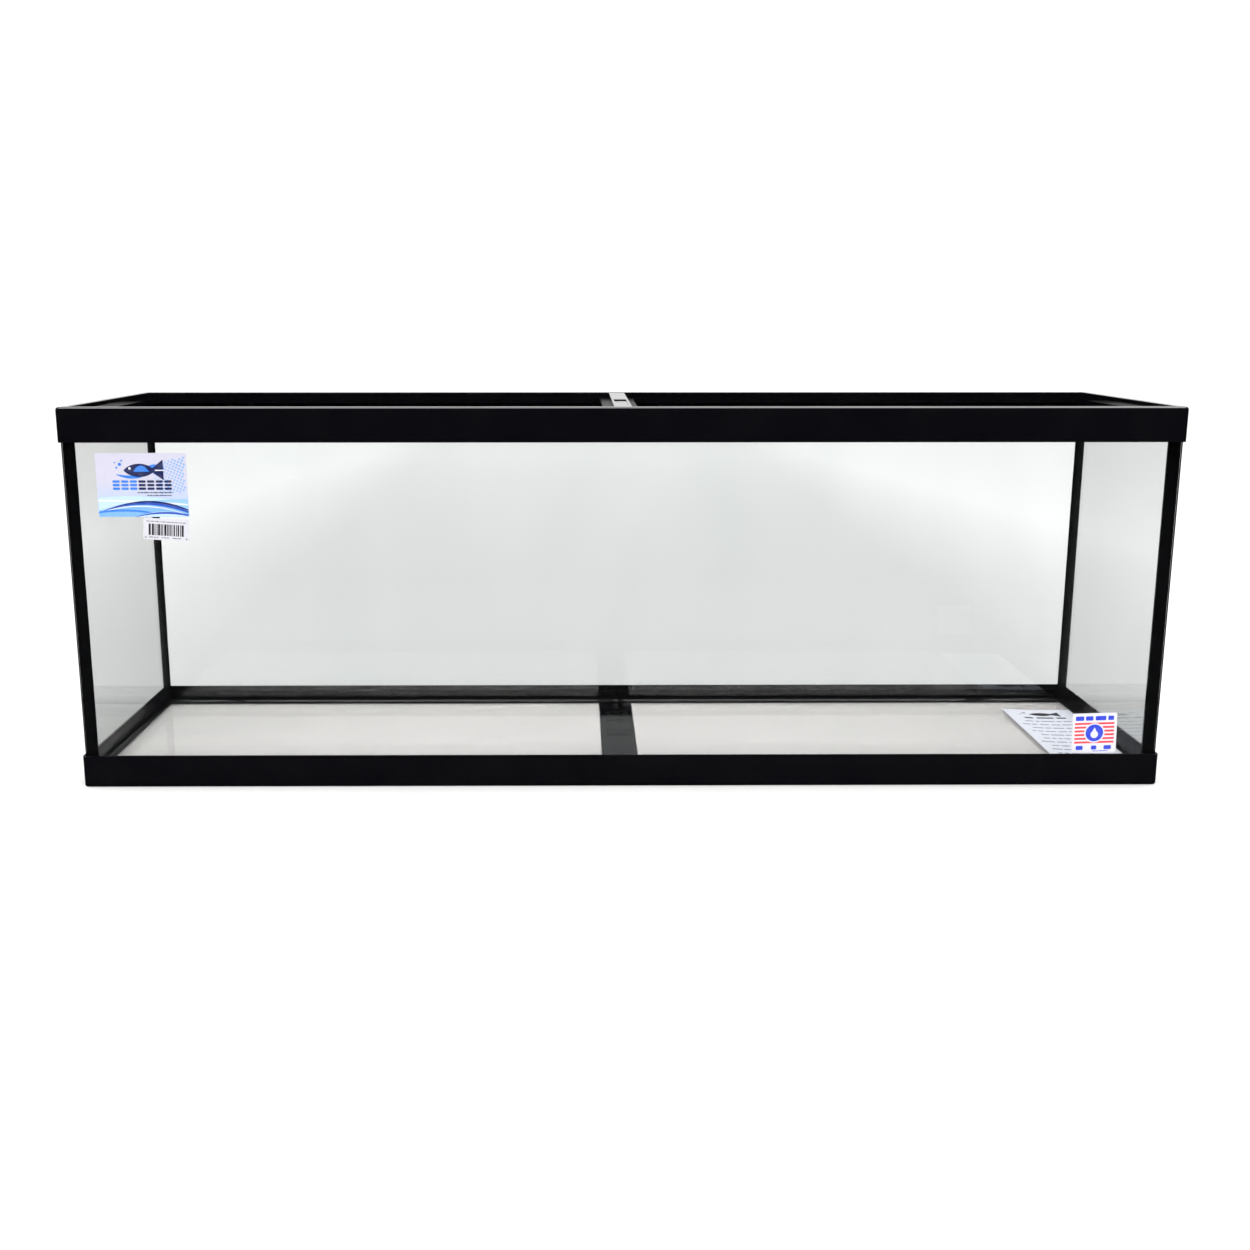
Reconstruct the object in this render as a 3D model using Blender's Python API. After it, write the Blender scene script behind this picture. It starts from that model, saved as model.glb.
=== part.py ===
"""Rimmed glass aquarium tank: five glass panes, black silicone joints and two moulded frames.

+X runs along the tank, the front pane faces -Y, +Z is up, and the tank stands on z = 0.
Each glued layer is modelled, and a small gap is left wherever two pieces touch.
"""

import math

import bmesh
import bpy
from mathutils import Matrix, Vector

# Overall size, over the frames: the standard 48 1/4 by 12 3/4 by 16 7/8 inch tank.
TANK_LENGTH = 1.2256
TANK_DEPTH = 0.32385
TANK_HEIGHT = 0.4286

# Glass and the silicone between its panes.
GLASS = 0.006
BOND = 0.0012
FRONT_CORNER_BEAD = 0.0078
BACK_CORNER_BEAD = 0.005
BOTTOM_BEAD = 0.0075
RIGHT_BOTTOM_BEAD = 0.0045
END_PANE_SMEAR = 0.0225
LEFT_CORNER_SMEAR = 0.018
RIGHT_CORNER_SMEAR = 0.0215
BEAD_HOLLOW = 0.22
BEAD_STEPS = 5

# Gap between two pieces that touch.
GAP = 0.0003

# Both frames: outer skirt, the room it leaves for silicone, and corner roundings.
SKIRT_WALL = 0.0018
SKIRT_ROOM = 0.0013
BED = 0.0014
CORNER_ROUND = 0.0035
INNER_ROUND = 0.0025
CORNER_STEPS = 5
SHEET = 0.0022

# Top frame.
TOP_SKIRT = 0.038
TOP_EDGE_ROUND = 0.0028
LEG_ROOM = 0.0004
LEG_WALL = 0.0016
LID_DROP = 0.0073
LID_LEDGE = 0.0129
LEDGE_LIP = 0.0057
LEDGE_LIP_WALL = 0.0018

# Centre braces.
BRACE_WIDTH = 0.041
BRACE_STRIP = 0.0195
BRACE_WALL = 0.0018
BRACE_STEP = 0.00025
PANEL_WIDTH = 0.0145
PANEL_LENGTH = 0.106
PANEL_FROM_FRONT = 0.0469
PANEL_DEPTH = 0.0011

# Bottom frame.
BOTTOM_SKIRT = 0.037
FOOT_ROUND = 0.0025
FOOT_WALL = 0.0045
SHELF_TOP = 0.0084
SHELF = 0.0028
SHELF_PAST_GLASS = 0.0007
GUSSET_WALL = 0.0016
GUSSET_PITCH = 0.1
GUSSET_FOOT = 0.001

# Silicone in the frames.
TOP_ADHESIVE_DROP = 0.030
BOTTOM_ADHESIVE_RISE = 0.022
ADHESIVE_END = 0.0042
DAB_MARGIN = 0.0041
FRONT_DAB = 0.038
MIDDLE_DAB = 0.029
REAR_DAB = 0.047
END_DAB_FROM_SHELF = 0.0617
MIDDLE_DAB_FROM_CENTRE = 0.0175

# Stickers on the front pane: width, height and turn in degrees, then where each is stuck.
STICKER = 0.00025
STICKER_ROUND = 0.0016
PICTURE_LABEL = (0.0986, 0.0698, 0.0)
PICTURE_FROM_LEFT = 0.0881
PICTURE_UNDER_SKIRT = 0.0112
BARCODE_LABEL = (0.050, 0.0238, -3.6)
BARCODE_FROM_LEFT = 0.1112
STRIPED_LABEL = (0.0505, 0.0465, 1.7)
STRIPED_FROM_RIGHT = 0.0748

# Folded care leaflet, lying on the bottom pane by the right-hand end.
LEAFLET_WIDTH = 0.0889
LEAFLET_LENGTH = 0.2159
LEAFLET = 0.0004
LEAFLET_FROM_BEAD = 0.0005
LEAFLET_FROM_BACK = 0.0508
LEAFLET_TURN = -0.2
LEAFLET_CURL = 0.0025
LEAFLET_FLAT = 0.4

# Derived distances in from the tank's outer face, and derived heights.
GLASS_OUT = SKIRT_WALL + SKIRT_ROOM
GLASS_IN = GLASS_OUT + GLASS
SHELF_INSET = GLASS_IN + SHELF_PAST_GLASS
LEG_OUT = GLASS_IN + LEG_ROOM
RIM_WIDTH = LEG_OUT + LEG_WALL
LEDGE_IN = RIM_WIDTH + LID_LEDGE
HALF_X = TANK_LENGTH / 2
HALF_Y = TANK_DEPTH / 2
INNER_X = HALF_X - GLASS_IN
INNER_Y = HALF_Y - GLASS_IN
GLASS_FOOT = SHELF_TOP + BED
FLOOR = GLASS_FOOT + GLASS
GLASS_TOP = TANK_HEIGHT - SHEET - BED
LEDGE_UNDER = TANK_HEIGHT - LID_DROP - SHEET

BLACK_PLASTIC = ("black_plastic", (0.012, 0.012, 0.014, 1.0), 0.22)
BLACK_SILICONE = ("black_silicone", (0.01, 0.01, 0.011, 1.0), 0.3)
FLOAT_GLASS = ("float_glass", (0.78, 0.88, 0.84, 1.0), 0.02)
PAPER = ("paper", (0.86, 0.87, 0.93, 1.0), 0.6)


def own_material(node, finish):
    """Give a node its own Principled material in one of the finishes above."""
    kind, colour, roughness = finish
    material = bpy.data.materials.new(f"{node.name}_{kind}")
    material.use_nodes = True
    shader = material.node_tree.nodes["Principled BSDF"]
    shader.inputs["Base Color"].default_value = colour
    shader.inputs["Roughness"].default_value = roughness
    if finish is FLOAT_GLASS:
        shader.inputs["Transmission Weight"].default_value = 1.0
        shader.inputs["IOR"].default_value = 1.52
    node.data.materials.append(material)


def add_object(name, bm):
    """Turn a closed bmesh into an object whose faces point outwards."""
    bmesh.ops.recalc_face_normals(bm, faces=bm.faces[:])
    mesh = bpy.data.meshes.new(name)
    bm.to_mesh(mesh)
    bm.free()
    node = bpy.data.objects.new(name, mesh)
    bpy.context.scene.collection.objects.link(node)
    return node


def add_node(name, bm, finish):
    """Make a finished node."""
    node = add_object(name, bm)
    own_material(node, finish)
    return node


def shade_round(node):
    """Shade the rounded corners smooth and keep the real edges sharp."""
    node.data.shade_smooth()
    node.data.set_sharp_from_angle(angle=math.radians(40))


def combine(node, tool_name, bm, operation):
    """Join a helper solid to a node, or cut it away."""
    tool = add_object(tool_name, bm)
    tool.hide_render = True
    tool.display_type = "WIRE"
    modifier = node.modifiers.new(tool_name, "BOOLEAN")
    modifier.operation = operation
    modifier.solver = "EXACT"
    modifier.object = tool


def prism_mesh(outline, start, end):
    """Extrude an outline of (y, z) points along X from start to end."""
    bm = bmesh.new()
    corners = [bm.verts.new((start, y, z)) for y, z in outline]
    face = bm.faces.new(corners)
    pushed = bmesh.ops.extrude_face_region(bm, geom=[face])["geom"]
    moved = [item for item in pushed if isinstance(item, bmesh.types.BMVert)]
    bmesh.ops.translate(bm, vec=(end - start, 0, 0), verts=moved)
    return bm


def add_box(bm, low, high):
    """Add a box between two opposite corners."""
    size = Vector(high) - Vector(low)
    middle = (Vector(high) + Vector(low)) / 2
    place = Matrix.Translation(middle) @ Matrix.Diagonal((*size, 1))
    bmesh.ops.create_cube(bm, size=1, matrix=place)


def box_mesh(low, high):
    """A bmesh that holds one box."""
    bm = bmesh.new()
    add_box(bm, low, high)
    return bm


def ring_loop(bm, inset, height, radius):
    """Add the corners of one rounded rectangle, inset from the tank's outer faces."""
    loop = []
    reach_x = HALF_X - inset - radius
    reach_y = HALF_Y - inset - radius
    for quarter, (side_x, side_y) in enumerate(((1, 1), (-1, 1), (-1, -1), (1, -1))):
        for step in range(CORNER_STEPS + 1):
            angle = math.radians(90 * (quarter + step / CORNER_STEPS))
            x = side_x * reach_x + radius * math.cos(angle)
            y = side_y * reach_y + radius * math.sin(angle)
            loop.append(bm.verts.new((x, y, height)))
    return loop


def ring_mesh(section):
    """Sweep a closed section of (inset, height, corner radius) points round the tank."""
    bm = bmesh.new()
    loops = [ring_loop(bm, *point) for point in section]
    count = len(loops[0])
    for this, following in zip(loops, loops[1:] + loops[:1]):
        for step in range(count):
            after = (step + 1) % count
            bm.faces.new((this[step], this[after], following[after], following[step]))
    return bm


def arc_points(centre, radius, first, last, steps):
    """Points on an arc, with its angles in degrees."""
    points = []
    for step in range(steps + 1):
        angle = math.radians(first + (last - first) * step / steps)
        points.append((centre[0] + radius * math.cos(angle), centre[1] + radius * math.sin(angle)))
    return points


def top_frame_section():
    """Section of the top frame: skirt, rim, glass channel, lid ledge and its lip."""
    top = TANK_HEIGHT
    lip_out = LEDGE_IN - LEDGE_LIP_WALL
    inner_skirt_round = CORNER_ROUND - SKIRT_WALL
    edge = arc_points((TOP_EDGE_ROUND, top - TOP_EDGE_ROUND), TOP_EDGE_ROUND, 180, 90, 5)
    section = [(0.0, top - TOP_SKIRT, CORNER_ROUND)]
    section += [(inset, height, CORNER_ROUND) for inset, height in edge]
    section += [
        (RIM_WIDTH - 0.0005, top, INNER_ROUND),
        (RIM_WIDTH, top - 0.0005, INNER_ROUND),
        (RIM_WIDTH, top - LID_DROP, INNER_ROUND),
        (LEDGE_IN, top - LID_DROP, INNER_ROUND),
        (LEDGE_IN, top - LID_DROP - LEDGE_LIP, INNER_ROUND),
        (lip_out, top - LID_DROP - LEDGE_LIP, INNER_ROUND),
        (lip_out, LEDGE_UNDER, INNER_ROUND),
        (LEG_OUT, LEDGE_UNDER, INNER_ROUND),
        (LEG_OUT, top - SHEET, INNER_ROUND),
        (SKIRT_WALL, top - SHEET, inner_skirt_round),
        (SKIRT_WALL, top - TOP_SKIRT, inner_skirt_round),
    ]
    return section


def top_brace_outline():
    """Cross-section of the top brace as (x, z) points: a raised strip between two flanges."""
    top = TANK_HEIGHT - BRACE_STEP
    flange_top = TANK_HEIGHT - LID_DROP - BRACE_STEP
    flange_under = flange_top - SHEET
    strip = BRACE_STRIP / 2
    right = [
        (strip, top),
        (strip, flange_top),
        (BRACE_WIDTH / 2, flange_top),
        (BRACE_WIDTH / 2, flange_under),
        (strip - BRACE_WALL, flange_under),
        (strip - BRACE_WALL, top - SHEET),
    ]
    return right + [(-x, z) for x, z in reversed(right)]


def make_top_frame():
    """The top moulding: rim and lid ledge all round, with its centre brace."""
    frame = add_node("top_frame", ring_mesh(top_frame_section()), BLACK_PLASTIC)
    reach = HALF_Y - (LEG_OUT + RIM_WIDTH) / 2
    brace = prism_mesh(top_brace_outline(), -reach, reach)
    bmesh.ops.transform(brace, matrix=Matrix.Rotation(math.pi / 2, 4, "Z"), verts=brace.verts[:])
    combine(frame, "top_brace_tool", brace, "UNION")
    start = -HALF_Y + PANEL_FROM_FRONT
    low = (-PANEL_WIDTH / 2, start, TANK_HEIGHT - BRACE_STEP - PANEL_DEPTH)
    high = (PANEL_WIDTH / 2, start + PANEL_LENGTH, TANK_HEIGHT + SHEET)
    combine(frame, "brace_panel_tool", box_mesh(low, high), "DIFFERENCE")
    shade_round(frame)


def bottom_frame_section():
    """Section of the bottom frame: skirt, rounded foot and the shelf that holds the glass."""
    inner_skirt_round = CORNER_ROUND - SKIRT_WALL
    foot = arc_points((FOOT_ROUND, FOOT_ROUND), FOOT_ROUND, 180, 270, 4)
    section = [(inset, height, CORNER_ROUND) for inset, height in foot]
    section += [
        (FOOT_WALL, 0.0, INNER_ROUND),
        (FOOT_WALL, SHELF_TOP - SHELF, INNER_ROUND),
        (SHELF_INSET, SHELF_TOP - SHELF, INNER_ROUND),
        (SHELF_INSET, SHELF_TOP, INNER_ROUND),
        (SKIRT_WALL, SHELF_TOP, inner_skirt_round),
        (SKIRT_WALL, BOTTOM_SKIRT, inner_skirt_round),
        (0.0005, BOTTOM_SKIRT, CORNER_ROUND),
        (0.0, BOTTOM_SKIRT - 0.0005, CORNER_ROUND),
    ]
    return section


def gusset_places(half_length):
    """Evenly spaced places along a side, clear of its corners and of the brace."""
    count = max(1, round(2 * half_length / GUSSET_PITCH))
    pitch = 2 * half_length / (count + 1)
    places = [-half_length + pitch * (step + 1) for step in range(count)]
    return [place for place in places if abs(place) > BRACE_WIDTH / 2 + GUSSET_WALL]


def gusset_mesh():
    """The small ribs under the bottom frame's shelf."""
    bm = bmesh.new()
    root = FOOT_WALL - 0.0004
    tip = SHELF_INSET - 0.001
    low = GUSSET_FOOT
    high = SHELF_TOP - SHELF + 0.0004
    half = GUSSET_WALL / 2
    for side in (-1, 1):
        for place in gusset_places(HALF_X - SHELF_INSET):
            near, far = sorted((side * (HALF_Y - root), side * (HALF_Y - tip)))
            add_box(bm, (place - half, near, low), (place + half, far, high))
        for place in gusset_places(HALF_Y - SHELF_INSET):
            near, far = sorted((side * (HALF_X - root), side * (HALF_X - tip)))
            add_box(bm, (near, place - half, low), (far, place + half, high))
    return bm


def make_bottom_frame():
    """The bottom moulding: skirt, foot, shelf, ribs and its centre brace."""
    frame = add_node("bottom_frame", ring_mesh(bottom_frame_section()), BLACK_PLASTIC)
    reach = HALF_Y - SHELF_INSET + 0.004
    low = (-BRACE_WIDTH / 2, -reach, SHELF_TOP - SHELF + BRACE_STEP)
    high = (BRACE_WIDTH / 2, reach, SHELF_TOP - BRACE_STEP)
    combine(frame, "bottom_brace_tool", box_mesh(low, high), "UNION")
    combine(frame, "gusset_tool", gusset_mesh(), "UNION")
    shade_round(frame)


def make_panes():
    """Front and back panes run the full length, and the others fit between them."""
    outer_x = HALF_X - GLASS_OUT
    outer_y = HALF_Y - GLASS_OUT
    end_y = INNER_Y - BOND
    spans = {
        "front_pane": ((-outer_x, -outer_y, GLASS_FOOT), (outer_x, -INNER_Y, GLASS_TOP)),
        "back_pane": ((-outer_x, INNER_Y, GLASS_FOOT), (outer_x, outer_y, GLASS_TOP)),
        "left_pane": ((-outer_x, -end_y, GLASS_FOOT), (-INNER_X, end_y, GLASS_TOP)),
        "right_pane": ((INNER_X, -end_y, GLASS_FOOT), (outer_x, end_y, GLASS_TOP)),
        "bottom_pane": ((-INNER_X + BOND, -end_y, GLASS_FOOT), (INNER_X - BOND, end_y, FLOOR)),
    }
    for name, (low, high) in spans.items():
        add_node(name, box_mesh(low, high), FLOAT_GLASS)


def bead_outline(leg, rise):
    """Section of an inner bead, with the neck that roots it in the bond.

    y is the distance from the wall that the bond lies on, and z the height over the other pane.
    The bead reaches leg away from the wall and rise up it.
    """
    neck = GAP + 0.00005
    outline = [(neck, -GLASS / 2), (BOND - neck, -GLASS / 2), (BOND - neck, GAP), (leg, GAP)]
    for step in range(1, BEAD_STEPS):
        t = step / BEAD_STEPS
        bend = 2 * t * (1 - t) * BEAD_HOLLOW
        near = (1 - t) ** 2 * leg + bend * leg + t**2 * GAP
        high = (1 - t) ** 2 * GAP + bend * rise + t**2 * rise
        outline.append((near, high))
    return outline + [(GAP, rise), (GAP, 0.0), (neck, 0.0)]


def cut_end(bm, point, outward):
    """Cut away all that lies beyond a plane and close the cut."""
    everything = bm.verts[:] + bm.edges[:] + bm.faces[:]
    bmesh.ops.bisect_plane(bm, geom=everything, plane_co=point, plane_no=outward, clear_outer=True)
    rim = [edge for edge in bm.edges if edge.is_boundary]
    bmesh.ops.contextual_create(bm, geom=rim)


def mitre_end(bm, end, side):
    """Mitre one end of a bead against the two beads that meet it in a corner."""
    spare = 0.75 * GAP
    cut_end(bm, (end - side * spare, 0, 0), (side, 1, 0))
    cut_end(bm, (end - side * spare, 0, 0), (side, 0, 1))


def seal_node(name, legs, bead, bond, mitres, place):
    """One cured joint: a thin bond between two panes and the bead inside the corner.

    legs are how far the bead reaches away from the bond's wall and up it, bead and bond are
    (start, end) along X, mitres the ends of the bead to mitre, as -1 or 1, and place the matrix
    that carries the joint from X to where it lies.
    """
    plate = box_mesh((bond[0], GAP, -GLASS), (bond[1], BOND - GAP, 0.0))
    fillet = prism_mesh(bead_outline(*legs), *bead)
    for side in mitres:
        mitre_end(fillet, bead[0] if side < 0 else bead[1], side)
    bmesh.ops.transform(plate, matrix=place, verts=plate.verts[:])
    bmesh.ops.transform(fillet, matrix=place, verts=fillet.verts[:])
    node = add_node(name, plate, BLACK_SILICONE)
    combine(node, f"{name}_tool", fillet, "UNION")


def frame_of(along, away, up, origin):
    """Matrix that carries the local X, Y and Z axes onto three directions at an origin."""
    matrix = Matrix((along, away, up)).transposed().to_4x4()
    return Matrix.Translation(origin) @ matrix


def make_corner_seals():
    """The four upright joints between the end panes and the front and back panes."""
    top = LEDGE_UNDER - GAP
    for front_name, side_y, leg in (("front", -1, FRONT_CORNER_BEAD), ("back", 1, BACK_CORNER_BEAD)):
        for end_name, side_x, smear in (("left", -1, LEFT_CORNER_SMEAR), ("right", 1, RIGHT_CORNER_SMEAR)):
            origin = (side_x * INNER_X, side_y * INNER_Y, FLOOR)
            place = frame_of((0, 0, 1), (0, -side_y, 0), (-side_x, 0, 0), origin)
            bead = (0.0, top - FLOOR)
            bond = (GLASS_FOOT - FLOOR, GLASS_TOP - FLOOR)
            legs = (smear, leg)
            seal_node(f"corner_seal_{front_name}_{end_name}", legs, bead, bond, (-1,), place)


def make_bottom_seals():
    """The four joints round the bottom pane."""
    for name, side in (("front", -1), ("back", 1)):
        place = frame_of((1, 0, 0), (0, -side, 0), (0, 0, 1), (0, side * INNER_Y, FLOOR))
        reach = INNER_X
        bond = (-reach + GAP, reach - GAP)
        legs = (BOTTOM_BEAD, BOTTOM_BEAD)
        seal_node(f"bottom_seal_{name}", legs, (-reach, reach), bond, (-1, 1), place)
    for name, side, leg in (("left", -1, BOTTOM_BEAD), ("right", 1, RIGHT_BOTTOM_BEAD)):
        place = frame_of((0, 1, 0), (-side, 0, 0), (0, 0, 1), (side * INNER_X, 0, FLOOR))
        reach = INNER_Y - BOND
        legs = (leg, END_PANE_SMEAR)
        seal_node(f"bottom_seal_{name}", legs, (-reach, reach), (-reach, reach), (-1, 1), place)


def side_places():
    """Each side of the tank: its name, the matrix from (X along, Y inward, Z up) to that side,
    and half the length of its top and of its bottom strip of silicone."""
    long = HALF_X - ADHESIVE_END
    short_top = INNER_Y - BOND - GAP
    short_bottom = HALF_Y - SHELF_INSET
    up = (0, 0, 1)
    return (
        ("front", frame_of((1, 0, 0), (0, 1, 0), up, (0, -HALF_Y, 0)), long, long),
        ("back", frame_of((1, 0, 0), (0, -1, 0), up, (0, HALF_Y, 0)), long, long),
        ("left", frame_of((0, 1, 0), (1, 0, 0), up, (-HALF_X, 0, 0)), short_top, short_bottom),
        ("right", frame_of((0, 1, 0), (-1, 0, 0), up, (HALF_X, 0, 0)), short_top, short_bottom),
    )


def adhesive_outline(edge, reach, away, end):
    """Section of the silicone round a pane's edge: a bed on the edge and a leg outside the glass.

    edge is the height of the frame's face that the bed lies on, reach how far in the bed runs,
    away +1 for a bed above that face or -1 for one below it, and end the height the leg runs to.
    """
    outside = SKIRT_WALL + GAP
    near = edge + away * GAP
    far = edge + away * (BED - GAP)
    return [
        (outside, near),
        (reach, near),
        (reach, far),
        (GLASS_OUT - GAP, far),
        (GLASS_OUT - GAP, end),
        (outside, end),
    ]


def make_frame_adhesive():
    """The silicone that beds both frames on the glass, one strip a side."""
    top_edge = TANK_HEIGHT - SHEET
    top = adhesive_outline(top_edge, GLASS_IN - GAP, -1, top_edge - TOP_ADHESIVE_DROP)
    bottom = adhesive_outline(SHELF_TOP, SHELF_INSET - GAP, 1, SHELF_TOP + BOTTOM_ADHESIVE_RISE)
    for name, place, top_half, bottom_half in side_places():
        for level, outline, half in (("top", top, top_half), ("bottom", bottom, bottom_half)):
            bm = prism_mesh(outline, -half, half)
            bmesh.ops.transform(bm, matrix=place, verts=bm.verts[:])
            add_node(f"{level}_adhesive_{name}", bm, BLACK_SILICONE)


def dab_mesh(middle, length, low, high):
    """A squeezed dab of silicone on the bottom brace: a flat patch with an uneven rounded edge."""
    half_x = BRACE_WIDTH / 2 - DAB_MARGIN
    half_y = length / 2
    bm = bmesh.new()
    outline = []
    for step in range(20):
        angle = math.tau * step / 20
        across = math.copysign(abs(math.cos(angle)) ** 0.6, math.cos(angle))
        along = math.copysign(abs(math.sin(angle)) ** 0.6, math.sin(angle))
        spread = 1.0 + 0.08 * math.sin(3 * angle + 40 * length) + 0.05 * math.cos(5 * angle)
        outline.append(bm.verts.new((half_x * spread * across, middle + half_y * spread * along, low)))
    face = bm.faces.new(outline)
    pushed = bmesh.ops.extrude_face_region(bm, geom=[face])["geom"]
    moved = [item for item in pushed if isinstance(item, bmesh.types.BMVert)]
    bmesh.ops.translate(bm, vec=(0, 0, high - low), verts=moved)
    return bm


def make_brace_adhesive():
    """Three dabs of silicone between the bottom brace and the bottom pane."""
    low = SHELF_TOP - BRACE_STEP + GAP
    high = GLASS_FOOT - GAP
    end = HALF_Y - SHELF_INSET - END_DAB_FROM_SHELF
    dabs = (
        ("front", -end, FRONT_DAB),
        ("middle", MIDDLE_DAB_FROM_CENTRE, MIDDLE_DAB),
        ("rear", end, REAR_DAB),
    )
    for name, middle, length in dabs:
        add_node(f"brace_adhesive_{name}", dab_mesh(middle, length, low, high), BLACK_SILICONE)


def sticker_mesh(label, middle_x, middle_z):
    """A rounded sticker on the outside of the front pane."""
    width, height, turn = label
    outline = []
    for quarter, (side_x, side_z) in enumerate(((1, 1), (-1, 1), (-1, -1), (1, -1))):
        centre = (side_x * (width / 2 - STICKER_ROUND), side_z * (height / 2 - STICKER_ROUND))
        outline += arc_points(centre, STICKER_ROUND, 90 * quarter, 90 * quarter + 90, 3)
    bm = bmesh.new()
    face = bm.faces.new([bm.verts.new((x, 0, z)) for x, z in outline])
    pushed = bmesh.ops.extrude_face_region(bm, geom=[face])["geom"]
    moved = [item for item in pushed if isinstance(item, bmesh.types.BMVert)]
    bmesh.ops.translate(bm, vec=(0, -STICKER, 0), verts=moved)
    turned = Matrix.Rotation(-math.radians(turn), 4, "Y")
    front = -HALF_Y + GLASS_OUT - GAP
    place = Matrix.Translation((middle_x, front, middle_z)) @ turned
    bmesh.ops.transform(bm, matrix=place, verts=bm.verts[:])
    return bm


def half_height(label):
    """Half the height that a turned sticker takes up."""
    width, height, turn = label
    angle = math.radians(abs(turn))
    return (width * math.sin(angle) + height * math.cos(angle)) / 2


def make_stickers():
    """Two stickers one above the other under the top frame, and one on the bottom frame's edge."""
    picture_z = TANK_HEIGHT - TOP_SKIRT - PICTURE_UNDER_SKIRT - half_height(PICTURE_LABEL)
    barcode_z = picture_z - half_height(PICTURE_LABEL) - 2 * GAP - half_height(BARCODE_LABEL)
    striped_z = BOTTOM_SKIRT + GAP + half_height(STRIPED_LABEL)
    places = (
        ("picture_label", PICTURE_LABEL, -HALF_X + PICTURE_FROM_LEFT, picture_z),
        ("barcode_label", BARCODE_LABEL, -HALF_X + BARCODE_FROM_LEFT, barcode_z),
        ("striped_label", STRIPED_LABEL, HALF_X - STRIPED_FROM_RIGHT, striped_z),
    )
    for name, label, middle_x, middle_z in places:
        add_node(name, sticker_mesh(label, middle_x, middle_z), PAPER)


def leaflet_lift(share):
    """Height of the leaflet over its flat part, with share 0 at its left edge and 1 at its right."""
    return LEAFLET_CURL * max(0.0, 1 - share / (1 - LEAFLET_FLAT)) ** 2


def make_leaflet():
    """The folded leaflet: flat on the bottom pane, its left-hand edge curled up a little."""
    steps = 24
    top = []
    for step in range(steps + 1):
        share = step / steps
        top.append(((share - 1) * LEAFLET_WIDTH, leaflet_lift(share) + LEAFLET))
    under = [(x, z - LEAFLET) for x, z in reversed(top)]
    bm = prism_mesh(top + under, 0.0, LEAFLET_LENGTH)
    right = INNER_X - RIGHT_BOTTOM_BEAD - LEAFLET_FROM_BEAD
    back = INNER_Y - LEAFLET_FROM_BACK
    stand = frame_of((0, -1, 0), (1, 0, 0), (0, 0, 1), (right, back, FLOOR + GAP))
    turned = Matrix.Rotation(math.radians(LEAFLET_TURN), 4, "Z")
    turn = Matrix.Translation((right, back, 0)) @ turned @ Matrix.Translation((-right, -back, 0))
    bmesh.ops.transform(bm, matrix=turn @ stand, verts=bm.verts[:])
    node = add_node("care_leaflet", bm, PAPER)
    shade_round(node)


def build():
    """Clear the scene and build every piece."""
    for old in list(bpy.data.objects):
        bpy.data.objects.remove(old)
    make_top_frame()
    make_bottom_frame()
    make_panes()
    make_corner_seals()
    make_bottom_seals()
    make_frame_adhesive()
    make_brace_adhesive()
    make_stickers()
    make_leaflet()


build()
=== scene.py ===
"""Looks of a rimmed glass aquarium tank: float glass, black silicone, moulded frames and stickers.

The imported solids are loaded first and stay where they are. Lengths are in metres unless a name
ends in _mm, +X runs along the tank, the front pane faces -Y and +Z is up.
"""

import logging
import math
import random
from collections.abc import Callable
from dataclasses import dataclass, field
from enum import Enum

import bmesh
import bpy
from mathutils import Matrix, Vector, noise
from mathutils.bvhtree import BVHTree


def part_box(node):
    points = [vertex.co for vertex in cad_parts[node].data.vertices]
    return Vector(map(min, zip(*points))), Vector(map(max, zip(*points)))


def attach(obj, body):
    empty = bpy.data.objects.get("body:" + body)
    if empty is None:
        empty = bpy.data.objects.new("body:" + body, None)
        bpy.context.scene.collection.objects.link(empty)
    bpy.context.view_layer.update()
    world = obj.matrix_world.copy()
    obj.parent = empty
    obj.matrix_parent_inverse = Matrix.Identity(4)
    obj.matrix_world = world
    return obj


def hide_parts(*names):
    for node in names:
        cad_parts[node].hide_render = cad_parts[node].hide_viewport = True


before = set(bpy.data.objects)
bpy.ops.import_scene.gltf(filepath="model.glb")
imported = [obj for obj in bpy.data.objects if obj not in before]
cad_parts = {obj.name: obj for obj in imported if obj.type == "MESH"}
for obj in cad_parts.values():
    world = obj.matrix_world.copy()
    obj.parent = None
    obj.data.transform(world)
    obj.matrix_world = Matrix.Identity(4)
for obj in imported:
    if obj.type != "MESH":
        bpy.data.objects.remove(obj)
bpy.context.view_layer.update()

MM = 0.001
# How far up the large label its blue wash fades out, as a share of its height.
WASH_SHARE = 0.62

log = logging.getLogger("aquarium")


# --------------------------------------------------------------------------- materials


def linear(hex_colour: str) -> tuple[float, float, float, float]:
    """Turn an sRGB hex colour into the linear colour that a shader takes.

    Args:
        hex_colour: a colour such as "#0b0a0f".

    Returns:
        Linear red, green and blue, and an alpha of 1.
    """
    channels = [int(hex_colour[i : i + 2], 16) / 255 for i in (1, 3, 5)]
    low, high = 12.92, 1.055
    r, g, b = (c / low if c <= 0.04045 else ((c + 0.055) / high) ** 2.4 for c in channels)
    return r, g, b, 1.0


def per_mm(size_mm: float) -> float:
    """The Scale of a noise node whose features are size_mm across."""
    return 1000.0 / size_mm


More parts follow.
